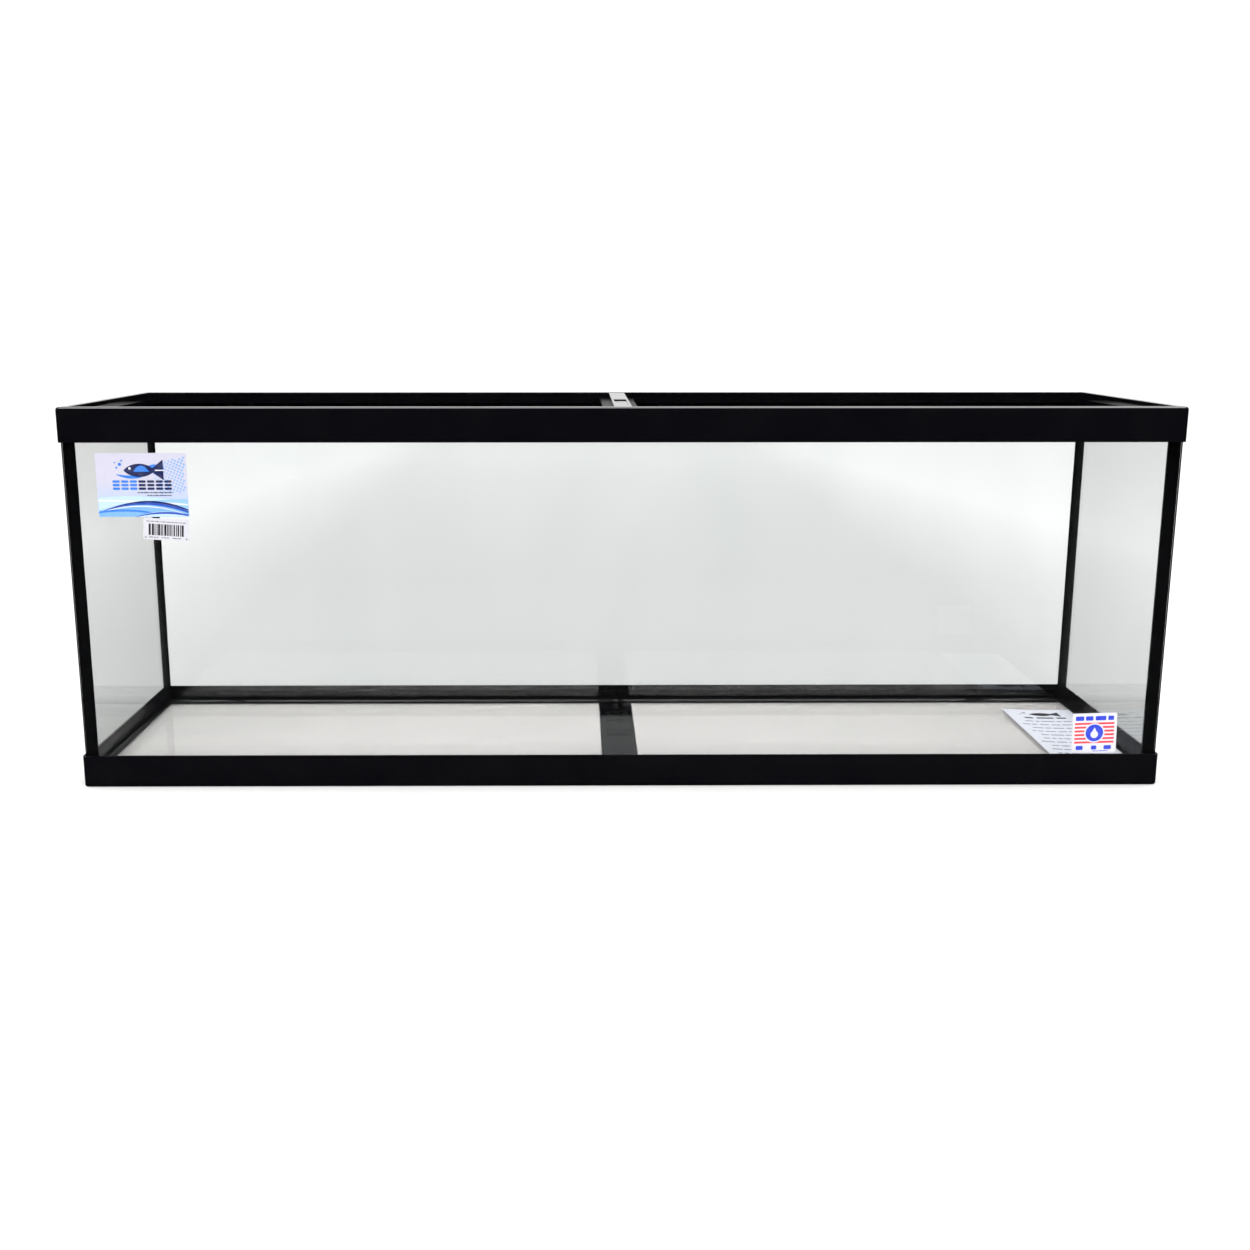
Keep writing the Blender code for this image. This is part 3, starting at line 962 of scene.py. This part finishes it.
@dataclass
class PictureLabel(FrontLabel):
    """The large label: a pale sheet with a fish, bubbles, halftone dots and water waves."""

    dot_pitch_mm: float = 3.3
    dot_turn_deg: float = -24.0

    def build(self) -> None:
        """Print the label."""
        sheet = self.start()
        self.waves(sheet)
        self.dots(sheet)
        self.fish(sheet)
        self.name_bars(sheet)
        self.lay(sheet)

    def waves(self, sheet: Print) -> None:
        """Bands of water along the foot of the label.

        Args:
            sheet: the print.
        """
        left, right = -self.width_mm / 2 + 0.4, self.width_mm / 2 - 0.4
        foot = -self.height_mm / 2 + 0.3
        floor = arc(0.0, 0.0, 1.0, foot)
        bands = (
            (floor, arc(3.0, -16.0, 40.0, -15.0), Ink.MIST),
            (floor, arc(5.0, 44.0, 60.0, -20.5), Ink.PALE),
            (arc(3.6, -60.0, 96.0, -21.4), arc(3.6, -60.0, 96.0, -19.6), Ink.WHITE),
            (floor, arc(13.6, 2.0, 60.0, -34.5), Ink.SKY),
            (arc(11.4, 0.0, 54.0, -33.0), arc(15.6, 2.0, 57.0, -33.6), Ink.ROYAL),
            (arc(13.4, 4.0, 54.0, -32.4), arc(15.8, 6.0, 55.0, -33.0), Ink.NAVY),
            (arc(9.2, -4.0, 52.0, -33.0), arc(10.4, -4.0, 53.0, -33.0), Ink.WHITE),
            (arc(4.6, -22.0, 44.0, -33.6), arc(6.8, -22.0, 46.0, -33.4), Ink.BRIGHT),
            (floor, arc(6.6, 22.0, 32.0, foot - 1.0), Ink.MIST),
            (arc(4.2, 22.0, 34.0, foot - 1.2), arc(6.2, 24.0, 36.0, foot - 1.0), Ink.ROYAL),
        )
        for lower, upper, ink in bands:
            sheet.next_layer()
            sheet.ribbon(left, right, lower, upper, ink, 64)

    def dots(self, sheet: Print) -> None:
        """Halftone dots that grow towards the right-hand edge, drawn coarser so that they show.

        Args:
            sheet: the print.
        """
        sheet.next_layer()
        turn = Matrix.Rotation(math.radians(self.dot_turn_deg), 2)
        for column in range(-12, 13):
            for row in range(-12, 13):
                spot = turn @ Vector((column, row)) * self.dot_pitch_mm + Vector((34, 10))
                grow = (spot.x - 14 + 0.35 * spot.y) / 34
                if 0.1 < grow and spot.x < 47.0 and -12 + 0.1 * spot.x < spot.y < 29 - 8 * (1 - grow):
                    sheet.disc(spot.x, spot.y, 0.7 + 0.45 * min(grow, 1.0), Ink.SKY, 8)

    def fish(self, sheet: Print) -> None:
        """A plain fish with bubbles, between two fins of weed.

        Args:
            sheet: the print.
        """

        def girth(x: float) -> float:
            """Half the body's height at a distance to the right."""
            return 7.2 * max(0.0, 1 - ((x + 2) / 17) ** 2) ** 0.8

        sheet.next_layer()
        sheet.ribbon(-27, 0, arc(-4.6, -10.0, 18.0, 11.6), arc(-1.8, -12.0, 16.0, 12.2), Ink.BRIGHT)
        sheet.ribbon(2, 25, arc(3.0, 16.0, 14.0, 15.6), arc(6.6, 15.0, 15.0, 15.8), Ink.BRIGHT)
        sheet.next_layer()
        sheet.ribbon(-19, 15, lambda x: 16 - girth(x), lambda x: 16 + girth(x), Ink.NAVY)
        sheet.next_layer()
        sheet.ribbon(11, 24, lambda x: 16 - 0.72 * (x - 9), lambda x: 16 + 0.78 * (x - 9), Ink.NAVY)
        sheet.next_layer()
        sheet.ribbon(-8, 9, arc(0.0, 0.0, 1.0, 14.6), arc(6.4, 0.0, 8.6, 14.8), Ink.BRIGHT)
        sheet.next_layer()
        sheet.ribbon(15, 24.2, arc(0.0, 0.0, 1.0, 15.5), arc(0.0, 0.0, 1.0, 16.7), Ink.WHITE)
        sheet.disc(-12.4, 18.2, 1.4, Ink.WHITE)
        for x, y, radius in ((-23.0, 22.6, 1.8), (-26.6, 19.0, 1.1), (-20.8, 26.6, 1.0), (-28.4, 24.4, 0.8)):
            sheet.disc(x, y, radius, Ink.BRIGHT)

    def name_bars(self, sheet: Print) -> None:
        """Three rows of plain bars and two lines of small print.

        Args:
            sheet: the print.
        """
        sheet.next_layer()
        for step in range(7):
            ink = Ink.BRIGHT if step < 3 else Ink.NAVY
            middle = -28.0 + 9.4 * step
            for level in (-3.9, 0.0, 3.9):
                sheet.block(middle, level, 7.9, 2.6, ink, 1.2)
        sheet.words(14.0, -8.2, 38.0, 1.1, Ink.SLATE, 3)
        sheet.words(19.0, -11.4, 28.0, 1.0, Ink.SLATE, 4)


@dataclass
class BarcodeLabel(FrontLabel):
    """The small label: a made-up bar code with a line of small marks above and below."""

    bars_mm: tuple[float, float] = (-19.2, 19.2)
    seed: int = 11

    def build(self) -> None:
        """Print the label."""
        sheet = self.start()
        draw = random.Random(self.seed)
        at, end = self.bars_mm
        while at < end:
            wide = draw.choice((1.0, 1.0, 1.6, 2.3))
            sheet.block(at + wide / 2, -0.6, wide, 12.6, Ink.CODE)
            at += wide + draw.choice((0.6, 0.7, 0.7, 1.2))
        sheet.words(0.0, 8.3, 43.0, 1.0, Ink.CODE_FINE, 5)
        for x, width in ((-13.4, 11.0), (0.0, 9.5), (12.2, 10.0)):
            sheet.words(x, -9.2, width, 1.1, Ink.CODE_FINE, int(width * 7))
        for x in (-22.4, 22.4):
            sheet.block(x, -9.6, 1.3, 1.3, Ink.CODE)
        self.lay(sheet)


@dataclass
class StripedLabel(FrontLabel):
    """The square label: signal-red bars round a blue disc with a drop, and blue dashes."""

    def build(self) -> None:
        """Print the label."""
        sheet = self.start()
        dashes = ((-17.0, 9.5), (-6.0, 8.5), (6.8, 12.0), (18.4, 6.5))
        for x, width in dashes:
            sheet.block(x, 17.2, width, 5.2, Ink.SIGNAL_BLUE, 1.1)
        for x, width in ((-16.5, 8.0), (0.0, 6.0), (15.5, 8.5)):
            sheet.block(x, -17.4, width, 4.8, Ink.SIGNAL_BLUE, 1.1)
        for step in range(6):
            sheet.block(0.0, 11.0 - 4.4 * step, 45.0, 2.3, Ink.SIGNAL_RED)
        sheet.next_layer()
        sheet.disc(0.0, 0.0, 11.6, Ink.WHITE, 48)
        sheet.next_layer()
        sheet.disc(0.0, 0.0, 10.0, Ink.SIGNAL_BLUE, 48)
        sheet.next_layer()
        sheet.disc(0.0, -1.8, 4.3, Ink.WHITE, 32)
        sheet.next_layer()
        sheet.ribbon(-3.7, 3.7, lambda x: -2.2, lambda x: -1.0 + 7.6 * (1 - abs(x) / 3.7), Ink.WHITE, 24)
        sheet.next_layer()
        sheet.words(8.0, -21.4, 18.0, 0.9, Ink.SIGNAL_BLUE, 9)
        self.lay(sheet)


@dataclass
class CareLeaflet:
    """The loose leaflet on the bottom pane, with faint lines of small print."""

    node: str = "care_leaflet"
    width_mm: float = 88.9
    length_mm: float = 215.9
    turn_deg: float = -0.2
    rows: int = 10
    row_pitch_mm: float = 15.5

    def build(self) -> None:
        """Dress the sheet and print it."""
        paper = CoatedPaper("coated_leaflet_paper", "#eff0fa", "#eff0fa", cloud_mm=14.0)
        dress(self.node, paper.material())
        sheet = Print("care_leaflet_print", (self.width_mm / 2, self.length_mm / 2), lift=0.04 * MM)
        top = self.length_mm / 2
        self.emblem(sheet, top - 23.0)
        sheet.words(3.0, top - 40.0, 58.0, 6.0, Ink.SLATE, 21)
        draw = random.Random(8)
        for row in range(self.rows):
            width = draw.uniform(56.0, 76.0)
            sheet.words(0.0, top - 56.0 - self.row_pitch_mm * row, width, 3.6, Ink.FAINT, 40 + row)
        self.lay(sheet)

    def emblem(self, sheet: Print, height: float) -> None:
        """A small fish with two bubbles, at the head of the sheet.

        Args:
            sheet: the print.
            height: where its middle is, upwards.
        """

        def girth(x: float) -> float:
            """Half the body's height at a distance to the right."""
            return 7.0 * max(0.0, 1 - (x / 15) ** 2) ** 0.8

        def tail(x: float) -> float:
            """Half the tail's height at a distance to the right."""
            return 0.7 * (x - 10)

        sheet.ribbon(-15, 15, lambda x: height - girth(x), lambda x: height + girth(x), Ink.CODE, 24)
        sheet.next_layer()
        sheet.ribbon(12, 24, lambda x: height - tail(x), lambda x: height + tail(x), Ink.CODE, 12)
        sheet.disc(-20.5, height + 6.0, 2.2, Ink.CODE, 12)
        sheet.disc(-26.0, height + 1.0, 1.6, Ink.CODE, 12)

    def lay(self, sheet: Print) -> None:
        """Drop the print on to the curled sheet.

        Args:
            sheet: the print.
        """
        low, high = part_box(self.node)
        middle = Vector(((low.x + high.x) / 2, (low.y + high.y) / 2, 0.0))
        turn = Matrix.Rotation(math.radians(self.turn_deg), 4, "Z")
        bmesh.ops.transform(sheet.bm, matrix=Matrix.Scale(MM, 4), verts=sheet.bm.verts[:])
        bmesh.ops.transform(sheet.bm, matrix=Matrix.Translation(middle) @ turn, verts=sheet.bm.verts[:])
        paper = bmesh.new()
        paper.from_mesh(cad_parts[self.node].data)
        tree = BVHTree.FromBMesh(paper)
        above = high.z + 0.05
        for vert in sheet.bm.verts:
            hit = tree.ray_cast(Vector((vert.co.x, vert.co.y, above)), Vector((0, 0, -1)))[0]
            vert.co.z += hit.z if hit else high.z
        paper.free()
        piece = sheet.laid(Matrix.Identity(4), "leaflet")
        log.info("%s: %d faces", piece.name, len(piece.data.polygons))


# --------------------------------------------------------------------------- studio


@dataclass
class Studio:
    """A white floor and surround, soft lamps and the camera. None of it is part of the tank.

    Reflections see a darker room in front of the tank: the surround dims for mirrored rays, and the
    floor's paint goes black for them there, a painted dark reflection in place of black flags, so that
    the tank's black frames stay black. What is seen through the panes is greyed as well, as painted
    shade in the floor's paint and not in the glass, so the glass alone looks clearer on a plain floor.
    seen_near, seen_middle and seen_far are the shares of the paint left to rays that came through
    glass, and seen_beside is the share given back at the sides. mirrored values are the shares left
    to mirrored rays. A _fade is where a change starts and ends, in metres on the floor.
    """

    camera_at: tuple[float, float, float] = (-0.0484, -1.72345, 0.52235)
    yaw: float = 0.0072
    pitch_down: float = 0.22029
    lens_mm: float = 41.2537
    shift: tuple[float, float] = (0.0286, 0.01095)
    floor_half: float = 30.0
    floor_colour: str = "#f4f4f3"
    # The seen_ shares set the painted shade on the floor seen through glass, the mirrored shares its painted
    # dark reflection.
    seen_near: float = 0.42
    seen_middle: float = 0.68
    seen_far: float = 0.9
    mirrored: float = 0.05
    mirrored_behind: float = 1.0
    seen_beside: float = 0.3
    painted_dark_reflection_fade: tuple[float, float] = (-0.15, 0.25)
    near_fade: tuple[float, float] = (0.18, 0.24)
    far_fade: tuple[float, float] = (1.2, 3.8)
    beside_fade: tuple[float, float] = (0.65, 1.3)
    daylight: float = 1.35
    mat_colour: str = "#e6dfdd"
    mat_top: float = 0.0092
    mat_brace_half: float = 0.0217
    mat_room: float = 0.6 * MM
    mat_round: float = 0.6 * MM
    aim_height: float = 0.2

    def build(self) -> None:
        """Set up the floor, the surround, the lamps and the camera."""
        self.floor()
        self.mats()
        self.surround()
        self.lamps()
        self.camera()
        view = bpy.context.scene.view_settings
        view.view_transform = "Standard"
        view.look = "None"

    def floor(self) -> None:
        """A wide matt floor, whose paint goes to black by the kind of ray that meets it.

        A mirrored ray finds it dark in front of the tank, as a painted dark reflection, and a ray that
        came through glass finds it greyer by bands of distance, as painted shade. A ray straight from the
        eye or a lamp finds plain paint.
        """
        bm = bmesh.new()
        bmesh.ops.create_grid(bm, x_segments=4, y_segments=4, size=self.floor_half)
        mesh = bpy.data.meshes.new("floor")
        bm.to_mesh(mesh)
        bm.free()
        floor = bpy.data.objects.new("floor", mesh)
        bpy.context.scene.collection.objects.link(floor)
        material, sheet = new_sheet("painted_floor")
        path = sheet.add("LightPath")
        place = sheet.add("TexCoord").outputs["Object"]
        cloud = sheet.add("TexNoise", {"Scale": 1.2, "Detail": 2.0}, {"Vector": place})
        share = sheet.add(
            "MapRange", {"From Min": 0.4, "From Max": 0.7, "To Min": 0.0, "To Max": 0.03}, {"Value": cloud}
        )
        paint = sheet.add(
            "Mix",
            {"data_type": "RGBA", 6: linear(self.floor_colour), 7: linear("#ececea")},
            {0: share},
        )
        lit = sheet.add("BsdfDiffuse", links={"Color": paint.outputs[2]})
        dark = sheet.add("BsdfDiffuse", {"Color": (0, 0, 0, 1)})
        mirrored = sheet.add("Math", {"operation": "MINIMUM", 1: 1.0}, {0: path.outputs["Glossy Depth"]})
        split = sheet.add("SeparateXYZ", links={0: place})
        back = split.outputs["Y"]
        off = sheet.add("Math", {"operation": "ABSOLUTE"}, {0: split.outputs["X"]})
        painted_dark_reflection, near, far, beside = (
            sheet.add(
                "MapRange",
                {"From Min": start, "From Max": end, "To Min": first, "To Max": last},
                {"Value": source},
            )
            for source, (start, end), first, last in (
                (back, self.painted_dark_reflection_fade, 1 - self.mirrored, 1 - self.mirrored_behind),
                (back, self.near_fade, 1 - self.seen_near, 1 - self.seen_middle),
                (back, self.far_fade, 0.0, self.seen_far - self.seen_middle),
                (off, self.beside_fade, 0.0, self.seen_beside),
            )
        )
        # painted dark reflection: black paint for mirrored rays in front of the tank
        hide = sheet.add("Math", {"operation": "MULTIPLY"}, {0: mirrored, 1: painted_dark_reflection})
        # painted shade: greyer paint for rays that came through glass, by bands of distance
        less = sheet.add("Math", {"operation": "SUBTRACT"}, {0: near, 1: far})
        through_glass_painted_shade = sheet.add("Math", {"operation": "SUBTRACT", "use_clamp": True}, {0: less, 1: beside})
        dim = sheet.add("Math", {"operation": "MULTIPLY"}, {0: through_glass_painted_shade, 1: path.outputs["Is Transmission Ray"]})
        both = sheet.add("Math", {"operation": "MAXIMUM"}, {0: hide, 1: dim})
        finish_sheet(sheet, sheet.add("MixShader", links={0: both, 1: lit, 2: dark}))
        mesh.materials.append(material)

    def mats(self) -> None:
        """Two white foam mats, cut to fill the hollow under the bottom pane beside its brace."""
        material, sheet = new_sheet("white_foam_mat")
        place = sheet.add("TexCoord").outputs["Object"]
        cells = sheet.add("TexNoise", {"Scale": per_mm(18.0), "Detail": 3.0}, {"Vector": place})
        share = sheet.add("MapRange", {"To Min": 0.0, "To Max": 0.06}, {"Value": cells})
        paint = sheet.add(
            "Mix",
            {"data_type": "RGBA", 6: linear(self.mat_colour), 7: linear("#dedcd8")},
            {0: share},
        )
        foam = sheet.add(
            "BsdfPrincipled", {"Roughness": 0.9, "Specular IOR Level": 0.0}, {"Base Color": paint.outputs[2]}
        )
        finish_sheet(sheet, foam)
        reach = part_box("bottom_pane")[1] - Vector((0.0, self.mat_room, 0.0))
        brace = self.mat_brace_half
        for name, side in (("left", -1), ("right", 1)):
            size = Vector((reach.x - brace, 2 * reach.y, self.mat_top))
            middle = Vector((side * (brace + reach.x) / 2, 0.0, self.mat_top / 2))
            bm = bmesh.new()
            place_mat = Matrix.Translation(middle) @ Matrix.Diagonal((*size, 1))
            bmesh.ops.create_cube(bm, size=1, matrix=place_mat)
            bmesh.ops.bevel(
                bm,
                geom=bm.edges[:],
                offset=self.mat_round,
                affect="EDGES",
                segments=2,
                profile=0.5,
                material=-1,
            )
            mesh = bpy.data.meshes.new(f"foam_mat_{name}")
            bm.to_mesh(mesh)
            bm.free()
            mesh.materials.append(material)
            mat = bpy.data.objects.new(f"foam_mat_{name}", mesh)
            bpy.context.scene.collection.objects.link(mat)

    def surround(self) -> None:
        """A white surround, which falls off upwards and behind the camera where it is mirrored."""
        world = bpy.data.worlds.new("surround")
        bpy.context.scene.world = world
        world.use_nodes = True
        sheet = NodeSheet(world.node_tree)
        path = sheet.add("LightPath")
        way = sheet.add("TexCoord").outputs["Generated"]
        split = sheet.add("SeparateXYZ", links={0: way})
        low, behind = (
            sheet.add(
                "MapRange",
                {
                    "interpolation_type": "SMOOTHSTEP",
                    "From Min": start,
                    "From Max": end,
                    "To Min": first,
                    "To Max": last,
                },
                {"Value": split.outputs[side]},
            )
            for side, start, end, first, last in (("Z", 0.08, 0.24, 1.0, 0.19), ("Y", -0.15, 0.35, 0.05, 1.0))
        )
        mirrored = sheet.add("Math", {"operation": "MULTIPLY"}, {0: low, 1: behind})
        bounced = sheet.add("Math", {"operation": "MINIMUM", 1: 1.0}, {0: path.outputs["Glossy Depth"]})
        direct = sheet.add(
            "Mix", {"data_type": "FLOAT", 2: 1.0, 3: self.daylight}, {0: path.outputs["Is Diffuse Ray"]}
        )
        strength = sheet.add("Mix", {"data_type": "FLOAT"}, {0: bounced, 2: direct.outputs[0], 3: mirrored})
        light = sheet.add("Background", {"Color": linear("#ffffff")}, {"Strength": strength.outputs[0]})
        sheet.add("OutputWorld", links={"Surface": light})

    def lamp(
        self, name: str, at: tuple[float, float, float], size: tuple[float, float], watts: float
    ) -> bpy.types.Object:
        """A soft lamp that points at the tank.

        Args:
            name: its name.
            at: where it hangs.
            size: its width and height.
            watts: its power.

        Returns:
            The lamp.
        """
        light = bpy.data.lights.new(name, "AREA")
        light.shape = "RECTANGLE"
        light.size, light.size_y = size
        light.energy = watts
        lamp = bpy.data.objects.new(name, light)
        bpy.context.scene.collection.objects.link(lamp)
        aim = Vector((0, 0, self.aim_height)) - Vector(at)
        lamp.matrix_world = Matrix.Translation(at) @ aim.to_track_quat("-Z", "Y").to_matrix().to_4x4()
        lamp.visible_camera = False
        return lamp

    def lamps(self) -> None:
        """A wide lamp overhead, a bright strip that draws thin lines on edges, and two softboxes."""
        overhead = self.lamp("overhead", (0.0, 0.2, 2.6), (3.2, 2.2), 24.0)
        overhead.visible_glossy = False
        strip = self.lamp("strip", (0.0, -0.3, 2.3), (4.6, 0.7), 90.0)
        strip.visible_diffuse = False
        for name, side in (("left", -1), ("right", 1)):
            self.lamp(f"softbox_{name}", (side * 2.0, -1.9, 1.55), (0.9, 0.7), 9.0)

    def camera(self) -> None:
        """A camera a little over the rim, looking down on the front."""
        data = bpy.data.cameras.new("camera")
        data.sensor_width = 36.0
        data.lens = self.lens_mm
        data.shift_x, data.shift_y = self.shift
        data.clip_start, data.clip_end = 0.05, 100.0
        camera = bpy.data.objects.new("camera", data)
        camera.location = self.camera_at
        camera.rotation_euler = (math.radians(90) - self.pitch_down, 0.0, -self.yaw)
        bpy.context.scene.collection.objects.link(camera)
        bpy.context.scene.camera = camera


def main() -> None:
    """Build every sub-assembly in order."""
    logging.basicConfig(level=logging.INFO, format="%(name)s: %(message)s")
    foot, head = (corner.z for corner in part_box("picture_label"))
    wash = (foot, foot + WASH_SHARE * (head - foot))
    washed = CoatedPaper("coated_washed_label", "#c4c2d2", "#a6bfe6", wash)
    grey_white = CoatedPaper("coated_barcode_label", "#cdccd4", "#cdccd4")
    white = CoatedPaper("coated_white_label", "#dcdbe2", "#dcdbe2")
    assemblies = (
        Studio(),
        TopFrame(),
        BottomFrame(),
        Glazing(),
        Joints(),
        FrameAdhesive(),
        PictureLabel("picture_label", 98.6, 69.8, 0.0, washed),
        BarcodeLabel("barcode_label", 50.0, 23.8, -3.6, grey_white),
        StripedLabel("striped_label", 50.5, 46.5, 1.7, white),
        CareLeaflet(),
    )
    for assembly in assemblies:
        assembly.build()
        log.info("%s is done", type(assembly).__name__)


if __name__ == "__main__":
    main()
